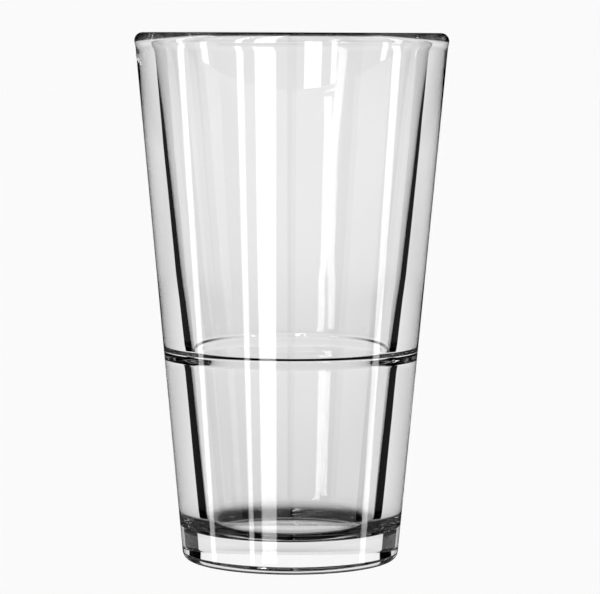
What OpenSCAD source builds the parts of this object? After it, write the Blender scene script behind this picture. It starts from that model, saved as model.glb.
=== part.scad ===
// Mixing glass for bar work: a straight tapered tumbler in one piece of clear glass. It has
// a fire-polished rim, a small ring inside the wall between a wide upper chamber and a
// narrower lower one, a thick floor, and a shallow recess under the foot.
// Millimetres, +Z up, origin at the middle of the face that it stands on.

/* [Overall] */
// Height from the table to the top of the rim
glass_h = 150; // [115:0.5:195]
// Largest diameter, measured over the rim
rim_d = 89; // [74:0.1:108]
// Diameter of the outer wall carried straight down to the table
foot_d = 61.3; // [50:0.1:74]

/* [Rim] */
// Thickness of the fully rounded rim
rim_t = 4.6; // [3.6:0.1:5.6]
// How far the rim stands out from the outer wall
lip_out = 0.18; // [0.05:0.01:0.6]
// Radius of the hollow blend from the rim into the outer wall
lip_blend_r = 16; // [4:0.5:30]
// Height of the stretch below the rim in which the wall thins towards it
flare_h = 32; // [16:0.5:45]

/* [Walls] */
// Wall thickness where the thinning towards the rim starts
wall_upper = 6.15; // [5.8:0.05:7.5]
// Wall thickness at the shoulder
wall_shoulder = 6.95; // [6:0.05:9]
// Wall thickness at the bottom of the upper chamber
wall_above_ring = 7.8; // [6:0.05:9]
// Wall thickness at the top of the lower chamber
wall_below_ring = 7.2; // [6:0.05:9]
// Wall thickness at the floor
wall_floor = 7.8; // [6:0.05:10]

/* [Shoulder] */
// Height above the ring at which the inner wall turns steeper
shoulder_h = 20; // [8:0.5:28]
// Radius of the turn at the shoulder
shoulder_r = 300; // [20:5:500]

/* [Ring] */
// Height of the ring's edge above the table
ring_h = 59.85; // [45:0.05:75]
// How far the ring stands in from the wall
ring_w = 1; // [0.7:0.05:1.6]
// Height of the ring's upper slope
ring_top = 1.1; // [1:0.05:2]
// Height of the ring's lower slope
ring_bottom = 2.25; // [1.8:0.05:3.5]
// Rounding of the ring's edge
ring_edge_r = 0.6; // [0.3:0.05:0.8]
// Rounding where the ring's slopes meet the wall
ring_root_r = 1.5; // [0.5:0.1:1.8]

/* [Foot] */
// Thickness of glass between the floor and the table
floor_h = 8.6; // [5:0.1:14]
// Rounding between the floor and the wall
floor_r = 6; // [3:0.1:9]
// Rounding between the foot and the outer wall
foot_r = 2.3; // [1:0.1:3.5]
// Width of the flat ring that touches the table
foot_ring_w = 3.6; // [2:0.1:6]
// Depth of the flat-roofed recess under the foot
recess_h = 1.8; // [1:0.1:2.5]
// Width of the recess's sloping side
recess_slope_w = 2; // [1.5:0.1:4]
// Rounding between the recess's side and its roof
recess_r = 1.2; // [0.5:0.1:2]

/* [Hidden] */

// Facets of a full turn, of a small rounding, and of a large one of which little shows
turn_fn = 192;
round_fn = 96;
large_fn = 1440;
// How far shapes that are joined reach into each other
overlap = 1;

// The rim is a full round of this radius about this centre
rim_r = rim_t / 2;
rim_centre = [rim_d / 2 - rim_r, glass_h - rim_r];

// The outer wall is a straight cone from the foot up into the rim
wall_top = [rim_d / 2 - lip_out, rim_centre.y];
foot_corner = [foot_d / 2, 0];
outer_slope = (wall_top.x - foot_corner.x) / wall_top.y;
outer_along = [outer_slope, 1] / norm([outer_slope, 1]);
outer_out = [outer_along.y, -outer_along.x];
function outer_x(z) = foot_corner.x + outer_slope * z;

// Corners of the inner wall, each as [radius, height], from the floor up
floor_corner = [outer_x(floor_h) - wall_floor, floor_h];
below_ring_z = ring_h - ring_bottom;
below_ring = [outer_x(below_ring_z) - wall_below_ring, below_ring_z];
above_ring_z = ring_h + ring_top;
above_ring = [outer_x(above_ring_z) - wall_above_ring, above_ring_z];
ring_edge = [min(below_ring.x, above_ring.x) - ring_w, ring_h];
shoulder_z = ring_h + shoulder_h;
shoulder = [outer_x(shoulder_z) - wall_shoulder, shoulder_z];
flare_z = glass_h - flare_h;
flare_start = [outer_x(flare_z) - wall_upper, flare_z];

// The flare is one large arc. It leaves the wall without a kink at flare_start and runs
// into the rim's round without a kink at flare_end.
wall_along = (flare_start - shoulder) / norm(flare_start - shoulder);
wall_out = [wall_along.y, -wall_along.x];
rim_to_start = flare_start - rim_centre;
flare_r = (pow(rim_r, 2) - rim_to_start * rim_to_start)
    / (2 * (wall_out * rim_to_start + rim_r));
flare_centre = flare_start + flare_r * wall_out;
rim_to_flare = (flare_centre - rim_centre) / norm(flare_centre - rim_centre);
flare_end = rim_centre - rim_r * rim_to_flare;

// The blend under the rim is an arc that touches the rim's round and the outer wall
rim_to_wall = (wall_top - rim_centre) * outer_out;
blend_drop = sqrt(pow(lip_blend_r + rim_r, 2) - pow(lip_blend_r + rim_to_wall, 2));
blend_centre = rim_centre + (lip_blend_r + rim_to_wall) * outer_out
    - blend_drop * outer_along;
blend_on_wall = blend_centre - lip_blend_r * outer_out;
rim_to_blend = (blend_centre - rim_centre) / norm(blend_centre - rim_centre);
blend_on_rim = rim_centre + rim_r * rim_to_blend;

// The recess under the foot starts inside the flat ring and slopes up to its roof
foot_flat_r = foot_corner.x - foot_r * tan((90 - atan(outer_slope)) / 2);
recess_edge = [foot_flat_r - foot_ring_w, 0];
recess_roof = [recess_edge.x - recess_slope_w, recess_h];

// The piece between a corner at b, on the way from a to c, and a rounding of radius r.
// Cut away, it rounds an outside corner. Added, it fills an inside corner.
module corner_piece(a, b, c, r, fn = round_fn) {
    to_a = (a - b) / norm(a - b);
    to_c = (c - b) / norm(c - b);
    middle = (to_a + to_c) / norm(to_a + to_c);
    half_angle = acos(to_a * middle);
    tangent = r / tan(half_angle);
    centre = b + middle * r / sin(half_angle);
    difference() {
        polygon([b - middle * overlap, b + to_a * tangent, centre, b + to_c * tangent]);
        translate(centre) circle(r = r, $fn = fn);
    }
}

// Outer profile from the axis to the wall, up into the rim
module outer_profile() {
    difference() {
        polygon([[0, 0], foot_corner, wall_top, flare_end, [0, flare_end.y]]);
        corner_piece([0, 0], foot_corner, wall_top, foot_r);
    }
}

// Glass between the flare's arc and the straight line from its start to its end
module flare_piece() {
    across = [overlap, 0];
    intersection() {
        translate(flare_centre) circle(r = flare_r, $fn = large_fn);
        polygon([
            flare_start - across, flare_start + across,
            flare_end + across, flare_end - across
        ]);
    }
}

// The hollow inside, open at the top, with its inside corners filled
module cavity_profile() {
    open_z = glass_h + overlap;
    difference() {
        polygon([
            [0, floor_h], floor_corner, below_ring, ring_edge, above_ring,
            shoulder, flare_start, flare_end, [flare_end.x, open_z], [0, open_z]
        ]);
        corner_piece([0, floor_h], floor_corner, below_ring, floor_r);
        corner_piece(floor_corner, below_ring, ring_edge, ring_root_r);
        corner_piece(ring_edge, above_ring, shoulder, ring_root_r);
        corner_piece(above_ring, shoulder, flare_start, shoulder_r, large_fn);
        flare_piece();
    }
}

// The recess under the foot, open below, with its inside corner filled
module recess_profile() {
    roof_middle = [0, recess_h];
    difference() {
        polygon([
            roof_middle, recess_roof, recess_edge,
            [recess_edge.x, -overlap], [0, -overlap]
        ]);
        corner_piece(roof_middle, recess_roof, recess_edge, recess_r);
    }
}

// The rim's full round and the blend below it
module rim_profile() {
    translate(rim_centre) circle(r = rim_r, $fn = round_fn);
    difference() {
        polygon([blend_on_wall, blend_centre, blend_on_rim, rim_centre]);
        translate(blend_centre) circle(r = lip_blend_r, $fn = large_fn);
    }
}

// Half of the glass's section, to the right of the axis
module glass_profile() {
    difference() {
        union() {
            outer_profile();
            rim_profile();
        }
        cavity_profile();
        corner_piece(below_ring, ring_edge, above_ring, ring_edge_r);
        recess_profile();
    }
}

// The whole glass, one solid turned about its axis
module glass() {
    color([0.93, 0.95, 0.95, 0.45])
        rotate_extrude($fn = turn_fn)
            intersection() {
                glass_profile();
                square([rim_d, glass_h]);
            }
}

glass();
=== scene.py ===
# %% [markdown]
# # A bar mixing glass
# One heavy piece of clear glass: a straight cone outside, and inside a wide upper chamber, a
# small ring, a narrower lower chamber and a thick floor. Clear glass has no colour of its own,
# so three things make it look real: an exact wall on both sides, the right index of refraction,
# and surroundings that give its edges something dark to bend into view.

# %% Load the frame
import math

import bmesh
import bpy
from mathutils import Matrix, Vector


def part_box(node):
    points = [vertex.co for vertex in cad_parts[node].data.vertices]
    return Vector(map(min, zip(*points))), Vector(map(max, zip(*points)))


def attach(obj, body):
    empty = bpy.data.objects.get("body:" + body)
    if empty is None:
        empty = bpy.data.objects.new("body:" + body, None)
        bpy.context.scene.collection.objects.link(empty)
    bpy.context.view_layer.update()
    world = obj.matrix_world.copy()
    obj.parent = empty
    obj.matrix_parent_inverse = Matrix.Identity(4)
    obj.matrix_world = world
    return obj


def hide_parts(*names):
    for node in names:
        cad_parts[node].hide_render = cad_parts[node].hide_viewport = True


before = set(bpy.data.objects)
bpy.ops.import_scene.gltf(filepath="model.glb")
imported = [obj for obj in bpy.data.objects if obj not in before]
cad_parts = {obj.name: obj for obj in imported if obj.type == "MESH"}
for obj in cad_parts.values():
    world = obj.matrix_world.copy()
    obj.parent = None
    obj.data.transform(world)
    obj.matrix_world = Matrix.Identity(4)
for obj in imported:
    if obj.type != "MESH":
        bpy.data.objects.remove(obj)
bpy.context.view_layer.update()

MM = 0.001
scene = bpy.context.scene
glass_low, glass_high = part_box("glass")
print("the CAD glass is", [round(side / MM, 2) for side in glass_high - glass_low], "mm")

# %% [markdown]
# Colours are written as the sRGB hex values that a paint chart or a picture editor shows.
# Blender's shaders work in linear light, so one function turns the first into the second.


# %% Hex colour to linear light
def linear(hex_colour):
    """Linear RGBA of a colour such as "#FAFAFA"."""
    channels = [int(hex_colour[i : i + 2], 16) / 255 for i in (1, 3, 5)]
    curve = [c / 12.92 if c <= 0.04045 else ((c + 0.055) / 1.055) ** 2.4 for c in channels]
    return (*curve, 1.0)


# %% Add a node
def add_node(tree, kind, inputs=None, **settings):
    """Adds a node, sets its settings, and fills its inputs. A node given as a value is linked."""
    node = tree.nodes.new(kind)
    for name, value in settings.items():
        setattr(node, name, value)
    for socket, value in (inputs or {}).items():
        source = value.outputs[0] if isinstance(value, bpy.types.Node) else value
        if isinstance(source, bpy.types.NodeSocket):
            tree.links.new(source, node.inputs[socket])
        else:
            node.inputs[socket].default_value = source
    return node


# %% The greys of a ramp
def set_greys(ramp, tones):
    """A grey at each of the positions from 0 to 1 that the tones list, straight between them."""
    stops = ramp.color_ramp.elements
    stops.remove(stops[1])
    (stops[0].position, first), *others = tones
    stops[0].color = (first, first, first, 1.0)
    for position, tone in others:
        stops.new(position).color = (tone, tone, tone, 1.0)


# %% An empty material, and a flat disc for the studio
DISC_SIDES = 96


def new_finish(name):
    """A material with an empty node tree, and that tree."""
    finish = bpy.data.materials.new(name)
    finish.use_nodes = True
    finish.node_tree.nodes.clear()
    return finish, finish.node_tree


def studio_disc(name, radius, below_foot, finish):
    """A flat round sheet of that radius, a little below the foot so that it doesn't touch it."""
    mesh = bmesh.new()
    bmesh.ops.create_circle(mesh, cap_ends=True, segments=DISC_SIDES, radius=radius)
    data = bpy.data.meshes.new(name)
    mesh.to_mesh(data)
    mesh.free()
    data.materials.append(finish)
    disc = bpy.data.objects.new(name, data)
    scene.collection.objects.link(disc)
    disc.location.z = glass_low.z - below_foot
    return disc


# %% [markdown]
# ## The section of the glass
# A round vessel could be made with the Screw modifier, a Bezier outline or a sculpted
# cylinder. Here its outline is worked out from the same few sizes that a glassmaker's drawing
# has, and then spun round the axis. Every line of glass that the eye sees is the section of a
# wall, so each corner gets its true rounding, and the arcs are sampled finely.

# %% Sizes of the section, in millimetres
HEIGHT = (glass_high.z - glass_low.z) / MM
RIM_D = (glass_high.x - glass_low.x) / MM
FOOT_D = 61.3
RIM_T, LIP_OUT, LIP_BLEND_R, FLARE_H = 4.6, 0.18, 16.0, 32.0
WALL_UPPER, WALL_SHOULDER, WALL_ABOVE_RING = 6.15, 6.95, 7.8
WALL_BELOW_RING, WALL_FLOOR = 7.2, 7.8
SHOULDER_H, SHOULDER_R = 20.0, 300.0
RING_H, RING_W, RING_TOP, RING_BOTTOM = 59.85, 1.0, 1.1, 2.25
RING_EDGE_R, RING_ROOT_R = 0.6, 1.5
FLOOR_H, FLOOR_R, FOOT_R, FOOT_RING_W = 8.6, 6.0, 2.3, 3.6
RECESS_H, RECESS_SLOPE_W, RECESS_R = 1.8, 2.0, 1.2
# Steps along the arcs in degrees, and the longest straight step in millimetres
ROUND_STEP, RIM_STEP, BLEND_STEP, LARGE_STEP, FLARE_STEP = 3.0, 4.0, 0.8, 0.2, 0.15
LONGEST = 1.6
print(f"rim {RIM_D:.1f} mm over the outside, {HEIGHT:.1f} mm high")


# %% An arc, a rounded corner and a straight stretch
def arc(centre, radius, start, turn, step=ROUND_STEP):
    """Points along an arc of turn degrees from the angle start, about step degrees apart."""
    count = max(3, math.ceil(abs(turn) / step))
    angles = [math.radians(start + turn * i / count) for i in range(count + 1)]
    return [centre + radius * Vector((math.cos(a), math.sin(a))) for a in angles]


def arc_between(centre, start, end, step=ROUND_STEP):
    """The arc round centre from the point start, the short way to the direction of end."""
    first, last = start - centre, end - centre
    from_angle = math.degrees(math.atan2(first.y, first.x))
    turn = math.degrees(math.atan2(last.y, last.x)) - from_angle
    turn = (turn + 180) % 360 - 180
    return arc(centre, first.length, from_angle, turn, step)


def rounded_corner(before, corner, after, radius, step=ROUND_STEP):
    """The arc of that radius that touches both straight sides of a corner."""
    to_before, to_after = (before - corner).normalized(), (after - corner).normalized()
    middle = (to_before + to_after).normalized()
    half_angle = to_before.angle(middle)
    centre = corner + middle * radius / math.sin(half_angle)
    reach = radius / math.tan(half_angle)
    return arc_between(centre, corner + to_before * reach, corner + to_after * reach, step)


def stretch(points, longest):
    """The same line with extra points, so that no step is longer than longest."""
    line = [points[0]]
    for start, end in zip(points, points[1:]):
        count = max(1, math.ceil((end - start).length / longest))
        line += [start.lerp(end, i / count) for i in range(1, count + 1)]
    return line


# %% [markdown]
# The outside is one straight cone from the foot to the rim. Under the foot is a flat-roofed
# recess, which keeps the glass from rocking: it stands on a flat ring. At the top the cone
# blends into the rim, which a flame has melted into a full round that stands slightly proud.

# %% Outside of the section
rim_r = RIM_T / 2
rim_centre = Vector((RIM_D / 2 - rim_r, HEIGHT - rim_r))
wall_top = Vector((RIM_D / 2 - LIP_OUT, rim_centre.y))
foot_corner = Vector((FOOT_D / 2, 0.0))
outer_along = (wall_top - foot_corner).normalized()
outer_out = Vector((outer_along.y, -outer_along.x))


def outer_x(z):
    """Radius of the outer wall at height z."""
    return foot_corner.x + (wall_top.x - foot_corner.x) * z / wall_top.y


foot_arc = rounded_corner(Vector((0.0, 0.0)), foot_corner, wall_top, FOOT_R)
recess_edge = Vector((foot_arc[0].x - FOOT_RING_W, 0.0))
recess_middle = Vector((0.0, RECESS_H))
recess_corner = Vector((recess_edge.x - RECESS_SLOPE_W, RECESS_H))
recess_round = rounded_corner(recess_middle, recess_corner, recess_edge, RECESS_R)
recess_line = [recess_middle, *recess_round, recess_edge]

rim_to_wall = (wall_top - rim_centre).dot(outer_out)
blend_drop = math.sqrt((LIP_BLEND_R + rim_r) ** 2 - (LIP_BLEND_R + rim_to_wall) ** 2)
blend_centre = rim_centre + (LIP_BLEND_R + rim_to_wall) * outer_out - blend_drop * outer_along
blend_start = blend_centre - LIP_BLEND_R * outer_out
blend_end = rim_centre + rim_r * (blend_centre - rim_centre).normalized()
blend_arc = arc_between(blend_centre, blend_start, blend_end, BLEND_STEP)
print(f"the foot stands on a ring from {recess_edge.x:.1f} to {foot_arc[0].x:.1f} mm radius")

# %% [markdown]
# Inside, the wall thickness is what a maker would measure, so each inner corner is given as a
# thickness at a height. The ring is a small bead between the two chambers. Above it the wall
# gets thinner, and near the top it flares along one large arc into the rim.


# %% Inside of the section
def inner_point(z, wall):
    """Point of the inner wall at height z, where the glass is wall thick."""
    return Vector((outer_x(z) - wall, z))


floor_corner = inner_point(FLOOR_H, WALL_FLOOR)
below_ring = inner_point(RING_H - RING_BOTTOM, WALL_BELOW_RING)
above_ring = inner_point(RING_H + RING_TOP, WALL_ABOVE_RING)
ring_edge = Vector((min(below_ring.x, above_ring.x) - RING_W, RING_H))
shoulder = inner_point(RING_H + SHOULDER_H, WALL_SHOULDER)
flare_start = inner_point(HEIGHT - FLARE_H, WALL_UPPER)

wall_along = (flare_start - shoulder).normalized()
wall_out = Vector((wall_along.y, -wall_along.x))
rim_to_start = flare_start - rim_centre
flare_r = (rim_r**2 - rim_to_start.length_squared) / (2 * (wall_out.dot(rim_to_start) + rim_r))
flare_centre = flare_start + flare_r * wall_out
flare_end = rim_centre - rim_r * (flare_centre - rim_centre).normalized()
print(f"the flare is an arc of {flare_r:.0f} mm radius")

# %% The whole outline, from the middle of the foot round to the middle of the floor
rim_top = rim_centre + Vector((0.0, rim_r))
flare_arc = arc_between(flare_centre, flare_end, flare_start, FLARE_STEP)
inner_sides = [flare_start, shoulder, above_ring, ring_edge, below_ring, floor_corner]
inner_rounds = [SHOULDER_R, RING_ROOT_R, RING_EDGE_R, RING_ROOT_R, FLOOR_R]
inner_ends = [*inner_sides, Vector((0.0, FLOOR_H))]
outline = [*recess_line, *foot_arc, *blend_arc]
outline += arc_between(rim_centre, blend_end, rim_top, RIM_STEP)[1:]
outline += arc_between(rim_centre, rim_top, flare_end, RIM_STEP)[1:]
outline += flare_arc[1:]
for index, radius in enumerate(inner_rounds):
    before, corner, after = inner_ends[index : index + 3]
    angle = LARGE_STEP if radius == SHOULDER_R else RIM_STEP
    outline += rounded_corner(before, corner, after, radius, angle)
outline = stretch([*outline, inner_ends[-1]], LONGEST)
print(f"the outline has {len(outline)} points")

# %% [markdown]
# ## The glass
# A Screw modifier could turn the outline too. It is spun in code, because then the middle of
# the foot and of the floor each close to a single point, with no hole and no stray face.
#
# The glass is hidden from shadow rays and from the rays that light the floor, so the floor
# stays evenly pale. A real glass would leave a faint shade on it.

# %% Spin the outline
SEGMENTS = 256
ON_AXIS = 1e-6


def spin(name, points):
    """A closed mesh of the outline turned round the Z axis. Its first and last point lie on it."""
    mesh = bmesh.new()
    rows = []
    for point in points:
        if point.x < ON_AXIS:
            rows.append([mesh.verts.new((0.0, 0.0, point.y * MM))] * SEGMENTS)
            continue
        row = []
        for segment in range(SEGMENTS):
            angle = 2 * math.pi * segment / SEGMENTS
            across = Vector((math.cos(angle), math.sin(angle), 0.0))
            row.append(mesh.verts.new(across * point.x * MM + Vector((0, 0, point.y * MM))))
        rows.append(row)
    for low, high in zip(rows, rows[1:]):
        for i in range(SEGMENTS):
            j = (i + 1) % SEGMENTS
            corners = list(dict.fromkeys((low[i], low[j], high[j], high[i])))
            mesh.faces.new(corners).smooth = True
    bmesh.ops.recalc_face_normals(mesh, faces=mesh.faces)
    data = bpy.data.meshes.new(name)
    mesh.to_mesh(data)
    mesh.free()
    body = bpy.data.objects.new(name, data)
    scene.collection.objects.link(body)
    return body


glass = spin("mixing_glass", outline)
glass.visible_shadow = False
glass.visible_diffuse = False
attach(glass, "root")
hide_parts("glass")
print(f"{glass.name} has {len(glass.data.polygons)} faces")

# %% [markdown]
# ## Soda-lime glass
# Nearly all drinking glasses are soda-lime glass, with an index of refraction of 1.52. A flame
# has melted its skin smooth, so it has no roughness, and it is clear enough to have no tint.
# It does get slight upright waves, a few thousandths of a millimetre deep, which show as faint
# streaks. Their sizes are typical guesses.

# %% Soda-lime glass, fire-polished
SODA_LIME_IOR = 1.52
# The waves' width, length and depth in millimetres
WAVE_ACROSS, WAVE_ALONG, WAVE_DEPTH = 3.0, 90.0, 0.004
soda_lime, tree = new_finish("soda_lime_glass_fire_polished")
place = add_node(tree, "ShaderNodeTexCoord").outputs["Object"]
squeeze = (1 / (WAVE_ACROSS * MM), 1 / (WAVE_ACROSS * MM), 1 / (WAVE_ALONG * MM))
stretched = add_node(tree, "ShaderNodeVectorMath", {0: place, 1: squeeze}, operation="MULTIPLY")
wave_inputs = {"Vector": stretched, "Scale": 1.0, "Detail": 1.0}
waves = add_node(tree, "ShaderNodeTexNoise", wave_inputs)
skin_inputs = {"Height": waves, "Strength": 1.0, "Distance": WAVE_DEPTH * MM}
skin = add_node(tree, "ShaderNodeBump", skin_inputs)
surface = add_node(
    tree,
    "ShaderNodeBsdfPrincipled",
    {
        "Base Color": linear("#FFFFFF"),
        "Roughness": 0.0,
        "IOR": SODA_LIME_IOR,
        "Transmission Weight": 1.0,
        "Normal": skin,
    },
)
add_node(tree, "ShaderNodeOutputMaterial", {"Surface": surface})
glass.data.materials.append(soda_lime)
print(f"the waves are {WAVE_ACROSS:.0f} mm wide and {WAVE_DEPTH} mm deep")

# %% [markdown]
# ## The floor
# The glass stands on a pale, matt floor. It is a wide disc, and its far edge doesn't show
# because the backdrop has the same tone. The glass itself doesn't show the floor: what the
# glass shows is drawn by direction further down.

# %% Floor
FLOOR_RADIUS, FLOOR_BELOW = 6.0, 0.0002
paint, tree = new_finish("matt_white_paint")
matt = add_node(tree, "ShaderNodeBsdfDiffuse", {"Color": linear("#FAFAFA")})
add_node(tree, "ShaderNodeOutputMaterial", {"Surface": matt})
floor = studio_disc("studio_floor", FLOOR_RADIUS, FLOOR_BELOW, paint)
floor.visible_transmission = False
floor.visible_glossy = False

# %% [markdown]
# The table next to the foot would lie in the glass's own shade, which the eye meets through the
# corner of the floor and through the base. The glass casts no shadow here, so that shade is
# painted on a disc that only rays out of the glass can see: bright under the middle of the
# recess, dark under and around the foot's ring, and clear farther out. This painted shadow is
# a filter rather than an opaque card, so the light behind it still shows.

# %% Shade around the foot
# Each pair is a distance from the axis in millimetres and the share of light let through
SHADE = [
    (0, 0.80), (15, 0.75), (21, 0.06), (32, 0.02), (44, 0.05), (50, 0.28),
    (56, 0.50), (63, 0.68), (80, 0.88), (97, 0.97), (150, 1.0),
]
SHADE_RADIUS, SHADE_BELOW = 0.2, 0.0001
dim, tree = new_finish("shade_of_the_foot")
place = add_node(tree, "ShaderNodeTexCoord").outputs["Object"]
length = add_node(tree, "ShaderNodeVectorMath", {0: place}, operation="LENGTH")
distance = length.outputs["Value"]
share = add_node(tree, "ShaderNodeMath", {0: distance, 1: 1 / SHADE_RADIUS}, operation="MULTIPLY")
tones = [(radius * MM / SHADE_RADIUS, tone) for radius, tone in SHADE]
greys = add_node(tree, "ShaderNodeValToRGB", {0: share})
set_greys(greys, tones)
clear = add_node(tree, "ShaderNodeBsdfTransparent", {"Color": greys})
add_node(tree, "ShaderNodeOutputMaterial", {"Surface": clear})
shade = studio_disc("shade_on_table", SHADE_RADIUS, SHADE_BELOW, dim)
for ray_kind in ("camera", "diffuse", "glossy", "shadow"):
    setattr(shade, "visible_" + ray_kind, False)

# %% [markdown]
# ## The light
# Clear glass shows nothing but its surroundings, bent. Lamps, cloths and black flags could
# stand round the table as objects. Here they are drawn by direction, which has no noise and
# throws no stray shadows: a bright cloth that falls off to dark below the table's edge, dark
# gaps that the thick wall bends into black lines, and upright strip lights that the outer wall
# mirrors.
#
# This isn't one real studio. Rays that went straight through, rays that were bent inside the
# wall, rays that the outer wall mirrored, and rays that light the floor each meet their own
# brightness. The tones and places are fitted to how the glass should look from the camera.
# The floor and the backdrop are plain: they meet an even white all round.

# %% Direction and kind of ray
MATH, SOFT_EDGE = "ShaderNodeMath", "ShaderNodeMapRange"
SMOOTH = {"interpolation_type": "SMOOTHSTEP"}
TO_DEGREES = 180 / math.pi
world = bpy.data.worlds.new("studio")
scene.world = world
world.use_nodes = True
tree = world.node_tree
tree.nodes.clear()


def filtered(light, *filters):
    """The light after each of the filters, which may be numbers or nodes."""
    for part in filters:
        light = add_node(tree, MATH, {0: light, 1: part}, operation="MULTIPLY")
    return light


place = add_node(tree, "ShaderNodeTexCoord").outputs["Generated"]
east, north, up = add_node(tree, "ShaderNodeSeparateXYZ", {0: place}).outputs
bearing = add_node(tree, MATH, {0: east, 1: north}, operation="ARCTAN2")
height = add_node(tree, MATH, {0: up}, operation="ARCSINE")
# Both in degrees. Azimuth 0 is behind the glass, and grows towards +X.
azimuth = add_node(tree, MATH, {0: bearing, 1: TO_DEGREES}, operation="MULTIPLY")
elevation = add_node(tree, MATH, {0: height, 1: TO_DEGREES}, operation="MULTIPLY")
aside = add_node(tree, MATH, {0: azimuth}, operation="ABSOLUTE")
rays = add_node(tree, "ShaderNodeLightPath").outputs


# %% A band with soft edges
def band(value, low, high, soft=0.5):
    """1 where value lies between low and high, with soft edges, and 0 elsewhere."""
    rise = {"Value": value, "From Min": low - soft, "From Max": low + soft}
    fall = {"Value": value, "From Min": high + soft, "From Max": high - soft}
    rise, fall = (add_node(tree, SOFT_EDGE, inputs, **SMOOTH) for inputs in (rise, fall))
    return filtered(rise, fall)


# %% Cloth behind the glass
# Each pair is an elevation in degrees and a brightness
CLOTH = [
    (-90, 0.80), (-18, 0.80), (-11, 0.70), (-9, 0.705),
    (-7.6, 0.78), (-4.4, 0.865), (0, 0.83), (90, 0.83),
]
# The cloth ends below the table's edge, between these elevations. To the side, between these
# azimuths, it reaches lower by SIDE_REACH degrees.
EDGE_DARK, EDGE_BRIGHT, EDGE_LEVEL = -36.0, -28.0, 0.03
SIDE_FROM, SIDE_TO, SIDE_REACH = 10.0, 26.0, 10.0
tones = [((degrees + 90) / 180, tone) for degrees, tone in CLOTH]
upward = add_node(tree, MATH, {0: elevation, 1: 1 / 180, 2: 0.5}, operation="MULTIPLY_ADD")
cloth = add_node(tree, "ShaderNodeValToRGB", {0: upward})
set_greys(cloth, tones)
sideways = {"Value": aside, "From Min": SIDE_FROM, "From Max": SIDE_TO}
to_the_side = add_node(tree, SOFT_EDGE, sideways, **SMOOTH)
reach = {0: to_the_side, 1: SIDE_REACH, 2: elevation}
past_table = add_node(tree, MATH, reach, operation="MULTIPLY_ADD")
upwards = {"Value": past_table, "From Min": EDGE_DARK, "From Max": EDGE_BRIGHT}
above_edge = add_node(tree, SOFT_EDGE, upwards, **SMOOTH)
edge = add_node(tree, MATH, {0: above_edge, 1: EDGE_LEVEL}, operation="MAXIMUM")
through = filtered(cloth, edge)
print(f"the cloth has {len(CLOTH)} tones and ends below {EDGE_BRIGHT:.0f} degrees")

# %% [markdown]
# The gaps give the thick clear wall its black lines. Rays that leave the glass steeply
# downwards meet gaps at other bearings than the near-level ones, and rays that leave it
# steeply upwards meet the dark above the cloth.

# %% Dark gaps, as pairs of azimuths
GAPS = [(-62.0, -45.0), (45.0, 62.0), (-135.0, -118.0), (80.0, 92.0), (176.0, 190.0)]
LOW_GAPS = [(-2.0, 8.0), (-98.0, -88.0), (80.0, 92.0), (176.0, 190.0)]
LOW_FROM, LOW_TO = -18.0, -24.0
CEILING_BRIGHT, CEILING_DARK = 15.0, 24.0


def outside(gaps):
    """0 inside any of the gaps, and 1 elsewhere."""
    closed = 0.0
    for low, high in gaps:
        closed = add_node(tree, MATH, {0: closed, 1: band(azimuth, low, high)}, operation="ADD")
    return add_node(tree, MATH, {0: 1.0, 1: closed}, operation="SUBTRACT")


downwards = {"Value": elevation, "From Min": LOW_FROM, "From Max": LOW_TO}
low_part = add_node(tree, SOFT_EDGE, downwards, **SMOOTH)
high_part = add_node(tree, MATH, {0: 1.0, 1: low_part}, operation="SUBTRACT")
gap_parts = {0: filtered(high_part, outside(GAPS)), 1: filtered(low_part, outside(LOW_GAPS))}
open_cloth = add_node(tree, MATH, gap_parts, operation="ADD")
overhead = {"Value": elevation, "From Min": CEILING_DARK, "From Max": CEILING_BRIGHT}
ceiling = add_node(tree, SOFT_EDGE, overhead, **SMOOTH)

# %% [markdown]
# Rays that were bent inside the wall meet the gaps, and those that turned there more than once
# are dimmed to a fifth. An inner strip adds an upright bright line to them. Rays that went
# straight through two surfaces, as in the solid base, meet a dark side unless they point
# clearly downwards, which gives the base its dark ends.

# %% What the glass shows
# A ray has turned inside the wall once, or twice, when its glossy depth is over these
ONCE, TWICE = 0.5, 1.5
HELD_BACK, WALL_GAIN = -0.8, 1.22
# Azimuths, brightness, and the elevations where the inner strip begins and ends
INNER_STRIP, INNER_SOFT, INNER_LEVEL = (-149.0, -141.5), 1.0, 6.0
INNER_BOTTOM, INNER_TOP = (-5.0, -1.0), (12.0, 10.0)
# The inner strip leans by this many degrees of azimuth for each degree of elevation
INNER_LEAN, INNER_OFFSET = 0.85, -8.5
# A ray that has crossed two surfaces has a transmission depth under this
TWO_SURFACES = 2.5
BASE_SIDE, BASE_SIDE_RISE, BASE_SIDE_DEPTH = (46.0, 69.0), (-8.0, -4.0), -0.97
depth = rays["Glossy Depth"]
in_wall = add_node(tree, MATH, {0: depth, 1: ONCE}, operation="GREATER_THAN")
twice = add_node(tree, MATH, {0: depth, 1: TWICE}, operation="GREATER_THAN")
hold = add_node(tree, MATH, {0: twice, 1: HELD_BACK, 2: 1.0}, operation="MULTIPLY_ADD")
bent = filtered(through, open_cloth, hold, ceiling, WALL_GAIN)

leaning = {0: elevation, 1: INNER_LEAN, 2: INNER_OFFSET}
drift = add_node(tree, MATH, leaning, operation="MULTIPLY_ADD")
drifted = add_node(tree, MATH, {0: azimuth, 1: drift}, operation="ADD")
inner_strip = filtered(band(drifted, *INNER_STRIP, INNER_SOFT), in_wall, INNER_LEVEL)
for start, end in (INNER_BOTTOM, INNER_TOP):
    strip_end = {"Value": elevation, "From Min": start, "From Max": end}
    inner_strip = filtered(inner_strip, add_node(tree, SOFT_EDGE, strip_end, **SMOOTH))

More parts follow.
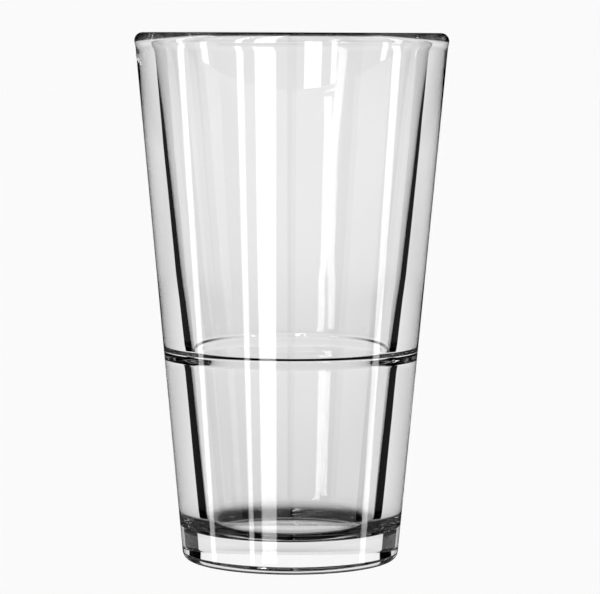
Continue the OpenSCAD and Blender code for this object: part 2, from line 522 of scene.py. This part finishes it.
surfaces = {0: rays["Transmission Depth"], 1: TWO_SURFACES}
in_base = add_node(tree, MATH, surfaces, operation="LESS_THAN")
low, high = BASE_SIDE_RISE
near_level = {"Value": elevation, "From Min": low, "From Max": high}
near_level = add_node(tree, SOFT_EDGE, near_level, **SMOOTH)
side_gap = filtered(in_base, band(aside, *BASE_SIDE), near_level)
side = {0: side_gap, 1: BASE_SIDE_DEPTH, 2: 1.0}
plain = filtered(through, add_node(tree, MATH, side, operation="MULTIPLY_ADD"))
either = add_node(tree, "ShaderNodeMix", {0: in_wall, 2: plain, 3: bent})
seen_in_glass = add_node(tree, MATH, {0: either, 1: inner_strip}, operation="ADD")

# %% [markdown]
# Tall strip lights stand to both sides of the glass and near the camera. The bright upright
# lines that they leave on the outer wall tell the eye that it is a smooth cone.

# %% Strip lights mirrored by the outer wall
# Low and high azimuth, brightness, the elevations where it ends and is full, and if it slants
STRIPS = [
    (-93.5, -87.0, 6.0, -20.0, -16.0, False),
    (-144.0, -139.0, 7.5, -20.8, -20.0, True),
    (-168.5, -153.0, 7.5, -20.8, -20.0, True),
    (92.5, 100.0, 6.0, -20.0, -16.0, False),
]
SLANT, SLANT_OFFSET, SLANT_MOST = -0.3, -3.2, 3.0
STRIP_SOFT = 1.0
slant = {0: elevation, 1: SLANT, 2: SLANT_OFFSET}
slant = add_node(tree, MATH, slant, operation="MULTIPLY_ADD")
slant = add_node(tree, MATH, {0: slant, 1: SLANT_MOST}, operation="MINIMUM")
slant = add_node(tree, MATH, {0: slant, 1: 0.0}, operation="MAXIMUM")
slanted = add_node(tree, MATH, {0: azimuth, 1: slant}, operation="SUBTRACT")
mirrored = 0.0
for low, high, level, end, full, slants in STRIPS:
    along = slanted if slants else azimuth
    foot = {"Value": elevation, "From Min": end, "From Max": full}
    foot = add_node(tree, SOFT_EDGE, foot, **SMOOTH)
    strip = filtered(band(along, low, high, STRIP_SOFT), foot, level)
    mirrored = add_node(tree, MATH, {0: mirrored, 1: strip}, operation="ADD")
print(f"the outer wall mirrors {len(STRIPS)} strips")

# %% [markdown]
# A ray that leaves the glass counts as a transmission ray and as a glossy one, so a mirrored ray
# is a glossy one that isn't a transmission ray. A ray that has met the floor is neither here:
# together with the rays that light the floor it meets the even white.

# %% One light for each kind of ray
# How much darker than full white the camera sees the backdrop, which gives it the floor's tone
BACKDROP = -0.044
off_floor = {0: rays["Diffuse Depth"], 1: ONCE}
off_floor = add_node(tree, MATH, off_floor, operation="LESS_THAN")
glass_ray = filtered(rays["Is Transmission Ray"], off_floor)
any_glass = filtered(rays["Is Glossy Ray"], off_floor)
mirror_ray = add_node(tree, MATH, {0: any_glass, 1: glass_ray}, operation="SUBTRACT")
mirror_ray = add_node(tree, MATH, {0: mirror_ray, 1: 0.0}, operation="MAXIMUM")
either_kind = add_node(tree, MATH, {0: any_glass, 1: glass_ray}, operation="MAXIMUM")
others = add_node(tree, MATH, {0: 1.0, 1: either_kind}, operation="SUBTRACT")
direct = {0: rays["Is Camera Ray"], 1: BACKDROP, 2: 1.0}
direct = add_node(tree, MATH, direct, operation="MULTIPLY_ADD")
parts = [(others, direct), (glass_ray, seen_in_glass), (mirror_ray, mirrored)]
brightness = 0.0
for ray_kind, light in parts:
    part = filtered(ray_kind, light)
    brightness = add_node(tree, MATH, {0: brightness, 1: part}, operation="ADD")
background = add_node(tree, "ShaderNodeBackground", {"Color": brightness})
add_node(tree, "ShaderNodeOutputWorld", {0: background})
print(f"the surroundings take {len(tree.nodes)} nodes")

# %% [markdown]
# ## The camera
# A long lens about 0.9 m away looks slightly down, so the rim and the ring are nearly
# level lines and the cone keeps its straight sides. Light turns many times inside a thick rim,
# so a ray may bounce often before it is given up.

# %% Camera
CAMERA_PLACE = (0.0, -0.886, 0.1517)
LOOKS_DOWN, TURNED, LEANS = 4.95, -0.165, 0.19
camera = bpy.data.objects.new("camera", bpy.data.cameras.new("camera"))
scene.collection.objects.link(camera)
scene.camera = camera
camera.data.lens = 187.32
camera.data.sensor_width = 36.0
camera.data.sensor_fit = "HORIZONTAL"
camera.data.clip_end = 100.0
tilt = Matrix.Rotation(math.radians(90 - LOOKS_DOWN), 4, "X")
turn = Matrix.Rotation(math.radians(TURNED), 4, "Z")
lean = Matrix.Rotation(math.radians(LEANS), 4, "Z")
camera.matrix_world = Matrix.Translation(CAMERA_PLACE) @ turn @ tilt @ lean
scene.view_settings.view_transform = "Standard"
scene.cycles.max_bounces = 64
scene.cycles.transmission_bounces = 32
scene.cycles.glossy_bounces = 64
